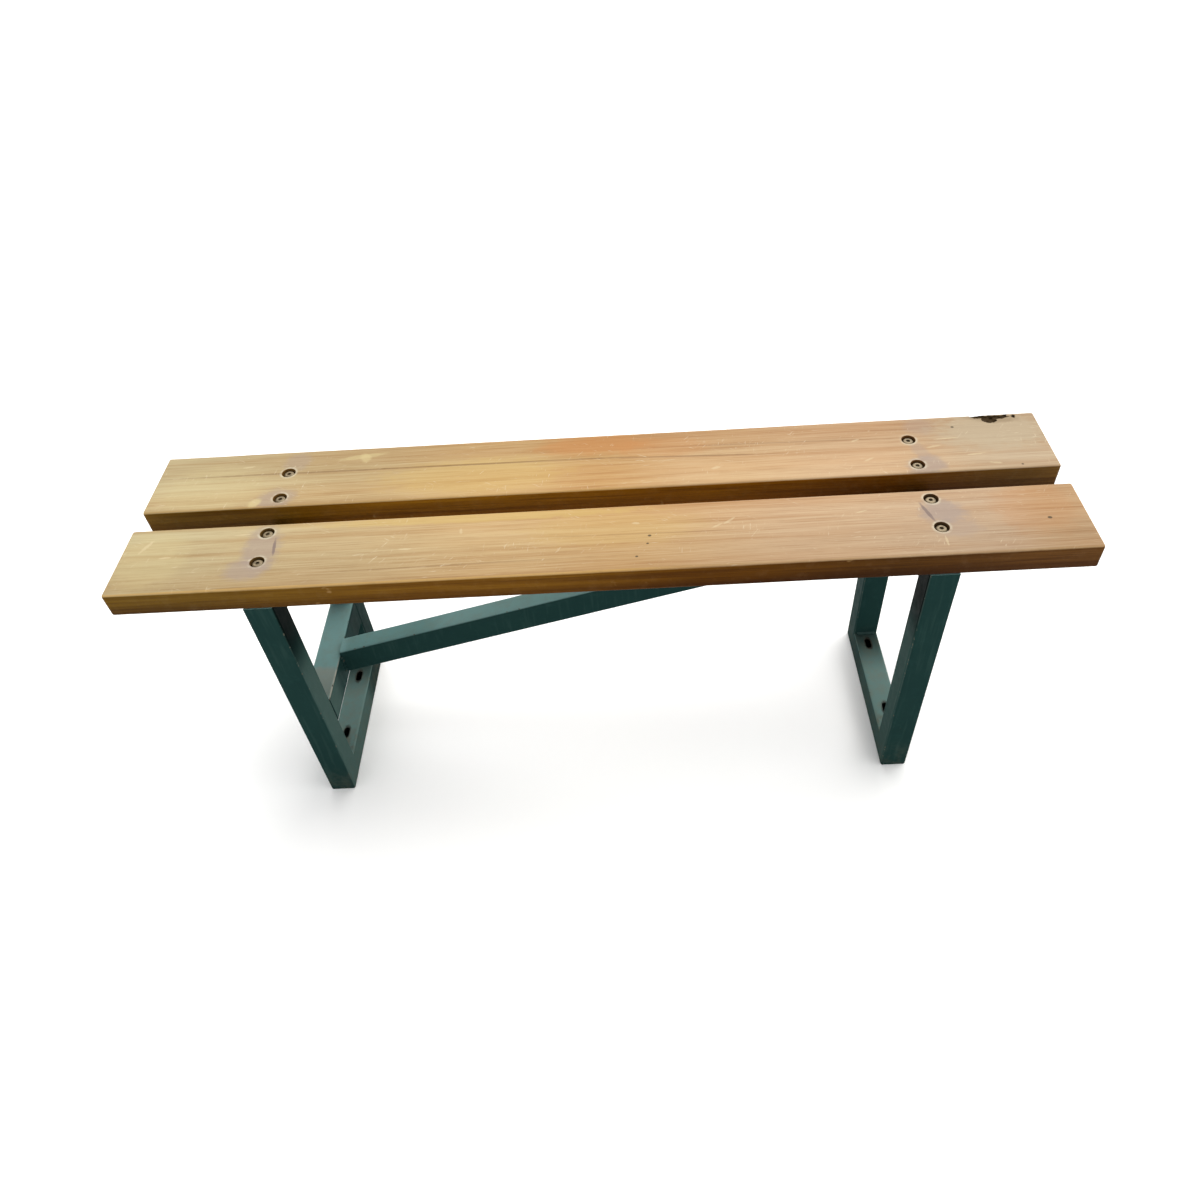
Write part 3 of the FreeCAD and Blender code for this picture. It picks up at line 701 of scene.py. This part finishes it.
FRONT_LOOK = {
    "seed": 3.0,
    "along": ((0.03, tone(210, 194, 150)), (0.22, tone(212, 188, 142)), (0.41, tone(224, 192, 140)),
              (0.52, tone(221, 184, 130)), (0.72, tone(222, 190, 152)), (0.90, tone(214, 188, 158)),
              (0.97, tone(206, 174, 134))),
    "side_along": ((0.03, tone(128, 94, 26)), (0.40, tone(146, 100, 26)), (0.62, tone(112, 68, 6)),
                   (0.80, tone(94, 58, 14)), (0.97, tone(116, 76, 32))),
    "patches": (
        ((-0.421, -0.062), (0.022, 0.040), 0.10, GREY_WEAR, 0.60),
        ((-0.432, -0.100), (0.026, 0.018), 0.0, GREY_WEAR, 0.55),
        ((-0.4045, -0.062), (0.0020, 0.015), 0.12, DARK_WEAR, 0.85),
        ((0.428, -0.060), (0.026, 0.022), -0.2, GREY_WEAR, 0.70),
        ((0.4095, -0.060), (0.0022, 0.019), 0.30, DARK_WEAR, 0.80),
        ((0.438, -0.090), (0.028, 0.016), 0.0, GREY_WEAR, 0.35),
        ((-0.150, -0.026), (0.200, 0.008), 0.0, YELLOW_TINT, 0.50),
        ((0.020, -0.060), (0.100, 0.030), 0.0, YELLOW_TINT, 0.22),
        ((0.540, -0.060), (0.050, 0.045), 0.0, ORANGE_TINT, 0.20),
        ((-0.560, -0.075), (0.045, 0.050), 0.0, PALE_WEAR, 0.30),
    ),
    "grain_lines": (
        ((-0.30, -0.112), (0.02, -0.108), 0.0012, 0.35),
        ((-0.05, -0.070), (0.20, -0.074), 0.0010, 0.25),
    ),
    "flecks": (
        ((0.166, -0.056), (0.011, 0.0022), 0.65), ((0.150, -0.064), (0.008, 0.002), 0.5),
        ((-0.237, -0.078), (0.009, 0.0022), 0.0), ((-0.170, -0.050), (0.002, 0.007), 0.1),
        ((-0.571, -0.050), (0.003, 0.016), -0.5), ((-0.540, -0.072), (0.010, 0.002), 0.1),
        ((0.050, -0.052), (0.006, 0.0025), -0.2), ((0.330, -0.052), (0.010, 0.0015), 0.3),
        ((-0.450, -0.036), (0.012, 0.0016), 0.05), ((0.420, -0.112), (0.0016, 0.012), 0.0),
    ),
    "specks": (((0.066, -0.076), 0.0022), ((0.063, -0.090), 0.0016), ((0.049, -0.112), 0.0018),
               ((0.552, -0.080), 0.0026)),
    "arris": 0.62,
    "burnt": False,
}

REAR_LOOK = {
    "seed": 31.0,
    "along": ((0.03, tone(216, 200, 156)), (0.22, tone(212, 188, 140)), (0.41, tone(224, 190, 134)),
              (0.50, tone(218, 176, 116)), (0.62, tone(226, 190, 142)), (0.80, tone(226, 191, 150)),
              (0.95, tone(208, 184, 152))),
    "side_along": ((0.03, tone(138, 100, 28)), (0.30, tone(178, 120, 26)), (0.62, tone(172, 108, 14)),
                   (0.80, tone(146, 86, 14)), (0.97, tone(130, 92, 40))),
    "patches": (
        ((-0.428, 0.034), (0.026, 0.018), 0.3, GREY_WEAR, 0.55),
        ((-0.452, 0.026), (0.007, 0.010), -0.6, PALE_WEAR, 0.75),
        ((-0.412, 0.110), (0.018, 0.020), 0.0, GREY_WEAR, 0.35),
        ((0.432, 0.032), (0.024, 0.020), 0.2, GREY_WEAR, 0.65),
        ((0.430, 0.062), (0.010, 0.020), 0.4, GREY_WEAR, 0.35),
        ((0.440, 0.115), (0.020, 0.018), 0.0, GREY_WEAR, 0.30),
        ((-0.322, 0.115), (0.030, 0.0045), 0.15, PALE_WEAR, 0.50),
        ((-0.318, 0.112), (0.007, 0.010), 0.3, PALE_WEAR, 0.55),
        ((0.000, 0.112), (0.075, 0.020), 0.0, ORANGE_TINT, 0.45),
        ((0.090, 0.100), (0.060, 0.022), 0.0, ORANGE_TINT, 0.25),
        ((-0.160, 0.060), (0.120, 0.035), 0.0, YELLOW_TINT, 0.35),
        ((-0.520, 0.060), (0.070, 0.045), 0.0, PALE_WEAR, 0.28),
        ((0.535, 0.100), (0.075, 0.040), 0.0, tone(206, 190, 160), 0.60),
    ),
    "grain_lines": (
        ((-0.59, 0.087), (-0.25, 0.085), 0.0016, 0.40),
        ((-0.28, 0.085), (0.03, 0.083), 0.0018, 0.55),
        ((0.00, 0.083), (0.23, 0.073), 0.0016, 0.45),
        ((0.10, 0.100), (0.42, 0.092), 0.0012, 0.30),
    ),
    "flecks": (
        ((-0.480, 0.104), (0.010, 0.0018), 0.1), ((0.360, 0.050), (0.009, 0.0020), 0.5),
        ((0.448, 0.070), (0.012, 0.0022), 0.2), ((0.500, 0.050), (0.016, 0.0018), 0.1),
        ((0.470, 0.086), (0.018, 0.0016), 0.05), ((0.160, 0.050), (0.008, 0.0030), 0.3),
        ((0.350, 0.092), (0.007, 0.0020), 0.4), ((0.520, 0.030), (0.010, 0.0020), -0.2),
    ),
    "specks": (((0.484, 0.110), 0.0022), ((0.552, 0.024), 0.0016)),
    "arris": 0.40,
    "burnt": True,
}


# ---------------------------------------------------------------- paint and metal finishes

PAINT = tone(35, 64, 61)
# up-facing paint: chalky fading together with painted light
FADED_PAINT_AND_LIGHT = tone(150, 195, 193)
DUST = tone(150, 148, 130)
PRIMER = tone(176, 178, 166)
RUST = tone(52, 36, 26)
PAINT_SHINE = 0.004
STAIN_HALF_LENGTH = 14.5 * MM
STAIN_HALF_WIDTH = 6.5 * MM


def cloudy_paint(shader, clouds, mottle):
    """Teal paint, uneven, with paler runs down its upright faces."""
    colour = shader.blend(shader.fade(clouds, 0.3, 0.7, 0.0, 0.35), PAINT, tone(28, 54, 53))
    colour = shader.blend(shader.fade(mottle, 0.5, 0.75, 0.0, 0.25), colour, tone(46, 78, 74))
    runs = shader.noise(shader.stretched(150, 150, 12), detail=2)
    upright = shader.fade(shader.math("ABSOLUTE", shader.normal_z), 0.5, 0.2)
    down_runs = shader.times(shader.fade(runs, 0.52, 0.72, 0.0, 0.25), upright)
    return shader.blend(down_runs, colour, tone(62, 88, 82))


def add_chalk_and_painted_light(shader, colour, skyward, mottle):
    """Up-facing paint lighter, partly chalk and partly painted light, with dust; less of it low down, and
    painted shade towards the back.
    """
    # painted light on up-facing faces, over real chalky fading
    colour = shader.blend(shader.times(skyward, 0.92), colour, FADED_PAINT_AND_LIGHT)
    low_down = shader.fade(shader.z, 0.12, 0.05)
    colour = shader.blend(shader.times(skyward, low_down, 0.7), colour, tone(104, 126, 118))
    dusty = shader.times(skyward, shader.fade(mottle, 0.38, 0.7))
    colour = shader.blend(shader.times(dusty, 0.2), colour, DUST)
    # painted shade: up-facing faces darken towards the back, most of all low down
    painted_rear_shade = shader.times(skyward, shader.fade(shader.y, 0.005, 0.085),
                           shader.fade(shader.z, 0.15, 0.07, 0.12, 0.85))
    return shader.blend(painted_rear_shade, colour, tint(96, 104, 102), "MULTIPLY")


def add_side_light_and_shade(shader, colour):
    """Faces along X: painted light low at the front, painted shade under the seat and at the back."""
    sideways = shader.fade(shader.math("ABSOLUTE", shader.normal_x), 0.5, 0.9)
    # painted light: paler teal low on the front of these faces, stronger on the left frame
    nearer = shader.math("SUBTRACT", shader.y, shader.fade(shader.z, 0.05, 0.10, 0.03, -0.055))
    side_painted_light = shader.times(sideways, shader.fade(nearer, 0.02, -0.02), shader.fade(shader.z, 0.33, 0.26),
                             shader.fade(shader.x, -0.1, 0.1, 0.8, 0.35))
    colour = shader.blend(side_painted_light, colour, tone(80, 106, 100))
    # painted shade under the seat
    under_seat_shade = shader.times(sideways, shader.fade(shader.z, 0.26, 0.36))
    colour = shader.blend(shader.times(under_seat_shade, 0.95), colour, tint(70, 84, 80), "MULTIPLY")
    # painted shade at the back of the left frame
    behind = shader.times(sideways, shader.fade(shader.y, 0.03, 0.07), shader.fade(shader.x, 0.1, -0.1))
    return shader.blend(shader.times(behind, 0.6), colour, tint(120, 130, 128), "MULTIPLY")


def add_low_end_darkening_and_splashes(shader, colour, skyward, mottle):
    """Darker on top of the brace's low end, and dirt splashes just above the floor."""
    low_end = shader.times(skyward, shader.fade(shader.x, -0.40, -0.385),
                           shader.fade(shader.x, -0.22, -0.28))
    colour = shader.blend(shader.times(low_end, 0.5), colour, tint(190, 206, 204), "MULTIPLY")
    splash = shader.times(shader.fade(shader.z, 0.07, 0.0), shader.fade(mottle, 0.4, 0.65), 0.28)
    return shader.blend(splash, colour, tone(104, 100, 84))


def add_rail_scrapes(shader, colour, skyward, mottle):
    """Bare primer near the middle rail's front end, and a pale upper edge there: worn paint with a painted
    highlight.
    """
    centre = (RAIL_LOW.x / 2 + RAIL_HIGH.x / 2, RAIL_LOW.y + 0.030)
    scraped = shader.spot(centre, (0.030, 0.030), 0.0, mottle, 0.7, 0.35)
    colour = shader.blend(shader.times(scraped, skyward, 0.62), colour, PRIMER)
    rim = shader.times(shader.edge(0.08, 0.2), shader.fade(shader.normal_x, 0.1, 0.5),
                       shader.fade(shader.normal_z, 0.1, 0.4))
    # painted highlight along the rail's upper edge, over worn paint
    rubbed_edge_and_highlight = shader.times(rim, shader.fade(shader.y, RAIL_LOW.y + 0.085, RAIL_LOW.y + 0.05),
                          shader.fade(mottle, 0.32, 0.5))
    return shader.blend(shader.times(rubbed_edge_and_highlight, 0.85), colour, tone(205, 205, 190))


def add_foot_dirt(shader, colour, skyward, mottle):
    """Rust round the floor slots, and brown dirt at the foot rails' front ends."""
    rear_slot_y = shader.fade(shader.x, -0.01, 0.01, SLOT_Y, RIGHT_REAR_SLOT_Y)
    rear_half = shader.math("GREATER_THAN", shader.y, 0.0)
    further = shader.times(rear_half, shader.math("SUBTRACT", rear_slot_y, SLOT_Y))
    slot_y = shader.math("ADD", SLOT_Y, further)
    from_slot = shader.math("SUBTRACT", shader.math("ABSOLUTE", shader.y), slot_y)
    from_side = shader.math("SUBTRACT", shader.math("ABSOLUTE", shader.x), BOLT_X)
    reach_y = shader.math("DIVIDE", from_slot, STAIN_HALF_LENGTH)
    reach_x = shader.math("DIVIDE", from_side, STAIN_HALF_WIDTH)
    squares = shader.math("ADD", shader.times(reach_x, reach_x), shader.times(reach_y, reach_y))
    uneven = shader.times(shader.math("SUBTRACT", mottle, 0.5), 0.9)
    reach = shader.math("ADD", shader.math("SQRT", squares), uneven)
    stain = shader.fade(reach, 1.15, 0.75)
    colour = shader.blend(shader.times(stain, 0.7), colour, RUST)
    front_end = shader.times(shader.fade(shader.y, -0.045, -0.085), skyward,
                             shader.fade(mottle, 0.35, 0.65))
    return shader.blend(shader.times(front_end, 0.5), colour, tone(112, 102, 82))


def add_chips(shader, colour, clouds):
    """Rubbed corners, and chips down to rust; also returns where the chips are."""
    corner = shader.edge(0.10, 0.24)
    rubbed_corner = shader.times(corner, shader.fade(clouds, 0.40, 0.62), 0.22)
    colour = shader.blend(rubbed_corner, colour, tone(112, 128, 122))
    chip_field = shader.noise(shader.stretched(150, 150, 150, shift=5), detail=2, roughness=0.5)
    chip = shader.most(shader.times(shader.fade(chip_field, 0.655, 0.675), corner),
                       shader.fade(chip_field, 0.80, 0.81))
    colour = shader.blend(chip, colour, RUST)
    around = shader.times(shader.fade(chip_field, 0.60, 0.66), corner, 0.5)
    return shader.blend(around, colour, tone(120, 126, 112)), chip


def painted_steel(name, dirty_foot=False, scraped_rail=False):
    """Weathered teal paint: chalky, dusty and with painted light where it faces up, painted light and shade
    on faces along X, chipped on corners.
    """
    shader = Shader(name)
    clouds = shader.noise(shader.stretched(9, 9, 9), detail=4, roughness=0.6)
    mottle = shader.noise(shader.stretched(70, 70, 70), detail=4, roughness=0.65)
    grit = shader.noise(shader.stretched(520, 520, 520), detail=3, roughness=0.7)
    skyward = shader.fade(shader.normal_z, 0.4, 0.9)

    colour = cloudy_paint(shader, clouds, mottle)
    colour = add_chalk_and_painted_light(shader, colour, skyward, mottle)
    colour = add_side_light_and_shade(shader, colour)
    colour = add_low_end_darkening_and_splashes(shader, colour, skyward, mottle)
    if scraped_rail:
        colour = add_rail_scrapes(shader, colour, skyward, mottle)
    if dirty_foot:
        colour = add_foot_dirt(shader, colour, skyward, mottle)
    colour, chip = add_chips(shader, colour, clouds)

    gloss = shader.fade(mottle, 0.3, 0.75, 0.34, 0.52)
    gloss = shader.math("ADD", gloss, shader.times(skyward, 0.22))
    gloss = shader.math("ADD", gloss, shader.times(chip, 0.3), clamp=True)
    ripples = shader.bump(clouds, 0.9 * MM, 0.25)
    skin = shader.bump(grit, 0.10 * MM, 0.35, ripples)
    normal = shader.bump(shader.math("SUBTRACT", 1.0, chip), 0.12 * MM, 0.7, skin)
    return shader.close(colour, gloss, normal, Specular_IOR_Level=PAINT_SHINE)


def painted_weld(name):
    """The same paint over a bead, mottled: pinholes, a little rust, and lighter where it faces up, partly
    chalky paint and partly painted light.
    """
    shader = Shader(name)
    mottle = shader.noise(shader.stretched(160, 160, 160), detail=4, roughness=0.65)
    pits = shader.noise(shader.stretched(900, 900, 900), detail=2)
    colour = shader.blend(shader.fade(mottle, 0.35, 0.7), tone(22, 48, 46), tone(48, 74, 71))
    # painted light: the bead lightens where it faces up, together with chalky paint
    skyward = shader.fade(shader.normal_z, 0.2, 0.8, 0.0, 0.4)
    colour = shader.blend(skyward, colour, tone(96, 122, 118))
    rusty = shader.fade(mottle, 0.60, 0.70, 0.0, 0.8)
    colour = shader.blend(rusty, colour, tone(84, 56, 38))
    gloss = shader.fade(mottle, 0.3, 0.7, 0.38, 0.62)
    normal = shader.bump(pits, 0.12 * MM, 0.5)
    return shader.close(colour, gloss, normal, Specular_IOR_Level=PAINT_SHINE)


def dull_zinc(name):
    """Old zinc plate: cloudy and scratched, with dirt packed into the socket."""
    shader = Shader(name)
    cloud = shader.noise(shader.stretched(230, 230, 230), detail=4, roughness=0.6)
    fine = shader.noise(shader.stretched(1900, 1900, 1900), detail=2)
    turned = shader.noise(shader.stretched(2600, 260, 900, turn=0.6), detail=2)
    colour = shader.blend(shader.fade(cloud, 0.3, 0.7), tone(170, 150, 116), tone(130, 114, 86))
    oxide = shader.fade(cloud, 0.58, 0.70, 0.0, 0.7)
    colour = shader.blend(oxide, colour, tone(108, 92, 66))
    away = bolt_distance(shader)
    top_of_head = shader.fade(shader.z, RECESS_FLOOR, RECESS_FLOOR + 0.003)
    in_socket = shader.fade(shader.z, SEAT_TOP - 0.0030, SEAT_TOP - 0.0042)
    packed = shader.times(shader.fade(away, 0.0034, 0.0028), in_socket, top_of_head)
    rim_dirt = shader.times(shader.fade(away, 0.0064, 0.0078), top_of_head)
    dirt = shader.math("MAXIMUM", shader.times(packed, 0.25), shader.times(rim_dirt, 0.5))
    colour = shader.blend(dirt, colour, tone(70, 60, 46))
    gloss = shader.fade(turned, 0.3, 0.7, 0.38, 0.62)
    gloss = shader.math("ADD", gloss, shader.times(dirt, 0.3), clamp=True)
    metal = shader.fade(shader.math("MAXIMUM", dirt, oxide), 0.2, 0.8, 0.35, 0.1)
    normal = shader.bump(shader.math("ADD", fine, turned), 0.05 * MM, 0.5)
    return shader.close(colour, gloss, normal, Metallic=metal)


def give_material(node_name, material):
    for slot in NODES[node_name].material_slots:
        slot.material = material


def finish_cad_nodes():
    """Every CAD node that still shows gets its finish by what it is."""
    paint = painted_steel("weathered_teal_paint")
    foot_paint = painted_steel("foot_rail_paint", dirty_foot=True)
    rail_paint = painted_steel("middle_rail_paint", scraped_rail=True)
    zinc = dull_zinc("dull_zinc_plate")
    for side in ("left", "right"):
        for part in ("front_leg", "rear_leg", "seat_bearer"):
            give_material(f"{side}_{part}", paint)
        give_material(f"{side}_foot_rail", foot_paint)
        for part in ("plank_bolts", "head_washers", "nut_washers", "nuts"):
            give_material(f"{side}_{part}", zinc)
    give_material("diagonal_brace", paint)
    give_material("left_middle_rail", rail_paint)


# ---------------------------------------------------------------- studio

FLOOR_REACH = 60.0
KEY_STRENGTH = 2.33
KEY_SPREAD = 75                      # degrees across
KEY_FROM = Vector((0.28, 0.42, 0.86))
LEVEL_GLOW = 0.85                    # the surround's strength near the horizon
OVERHEAD_GLOW = 0.34                 # and high up


def make_floor():
    """A wide pale floor under the feet."""
    shader = Shader("pale_floor")
    cloud = shader.noise(shader.stretched(1.5, 1.5, 1.5), detail=4)
    colour = shader.blend(shader.fade(cloud, 0.3, 0.7), tint(249, 249, 249), tint(252, 252, 251))
    normal = shader.bump(shader.noise(shader.stretched(300, 300, 300)), 0.05 * MM, 0.2)
    material = shader.close(colour, 0.75, normal)
    mesh_data = bmesh.new()
    corners = [mesh_data.verts.new((x * FLOOR_REACH, y * FLOOR_REACH, cad_low.z))
               for x, y in ((-1, -1), (1, -1), (1, 1), (-1, 1))]
    mesh_data.faces.new(corners)
    floor = object_from_bmesh("floor", mesh_data)
    floor.data.materials.append(material)


def make_light():
    """A very wide soft key from above, behind and to the right, in a pale surround."""
    key = bpy.data.lights.new("key", "SUN")
    key.energy = KEY_STRENGTH * LIGHT_LEVEL
    key.angle = math.radians(KEY_SPREAD)
    key.color = (1.0, 0.985, 0.96)
    lamp = bpy.data.objects.new("key", key)
    lamp.rotation_mode = "QUATERNION"
    lamp.rotation_quaternion = KEY_FROM.to_track_quat("Z", "Y")
    bpy.context.scene.collection.objects.link(lamp)

    world = bpy.data.worlds.new("surround")
    world.use_nodes = True
    tree = world.node_tree
    direction = tree.nodes.new("ShaderNodeTexCoord").outputs["Generated"]
    parts = tree.nodes.new("ShaderNodeSeparateXYZ")
    tree.links.new(direction, parts.inputs[0])
    rising = tree.nodes.new("ShaderNodeMapRange")
    rising.interpolation_type = "SMOOTHSTEP"
    tree.links.new(parts.outputs[2], rising.inputs[0])
    rising.inputs["From Min"].default_value = 0.22
    rising.inputs["From Max"].default_value = 0.50
    rising.inputs["To Min"].default_value = LEVEL_GLOW * LIGHT_LEVEL
    rising.inputs["To Max"].default_value = OVERHEAD_GLOW * LIGHT_LEVEL
    background = tree.nodes["Background"]
    background.inputs["Color"].default_value = (0.97, 0.99, 1.0, 1.0)
    tree.links.new(rising.outputs[0], background.inputs["Strength"])
    bpy.context.scene.world = world
    bpy.context.scene.view_settings.view_transform = "Standard"


# camera solved from the bench's own edges, in metres and radians
CAMERA_PLACE = Vector((0.0527, -0.9280, 1.2192))
CAMERA_PITCH = 0.8075                # down from level
CAMERA_YAW = -0.0386                 # towards +X from straight ahead
CAMERA_ROLL = 0.0773
FOCAL_SHARE = 0.7799                 # focal length over the picture's width
SENSOR = 36.0
OFF_CENTRE = 0.0141                  # optical axis right of the picture's middle


def make_camera():
    data = bpy.data.cameras.new("camera")
    data.sensor_width = SENSOR
    data.lens = FOCAL_SHARE * SENSOR
    data.shift_x = -OFF_CENTRE
    data.clip_end = 200
    camera = bpy.data.objects.new("camera", data)
    ahead = Vector((math.sin(CAMERA_YAW) * math.cos(CAMERA_PITCH),
                    math.cos(CAMERA_YAW) * math.cos(CAMERA_PITCH), -math.sin(CAMERA_PITCH)))
    level = Vector((math.cos(CAMERA_YAW), -math.sin(CAMERA_YAW), 0.0))
    down = ahead.cross(level)
    right = math.cos(CAMERA_ROLL) * level + math.sin(CAMERA_ROLL) * down
    up = math.sin(CAMERA_ROLL) * level - math.cos(CAMERA_ROLL) * down
    axes = Matrix((right, up, -ahead)).transposed().to_4x4()
    camera.matrix_world = Matrix.Translation(CAMERA_PLACE) @ axes
    bpy.context.scene.collection.objects.link(camera)
    bpy.context.scene.camera = camera


# ---------------------------------------------------------------- the bench

make_camera()
make_light()
make_floor()
make_front_board(timber("front_timber", FRONT_LOOK))
make_rear_board(timber("rear_timber", REAR_LOOK))
weld_paint = painted_weld("painted_weld_beads")
make_corner_beads("left", weld_paint)
make_corner_beads("right", weld_paint)
make_middle_rail_beads(weld_paint)
make_brace_beads(weld_paint)
finish_cad_nodes()
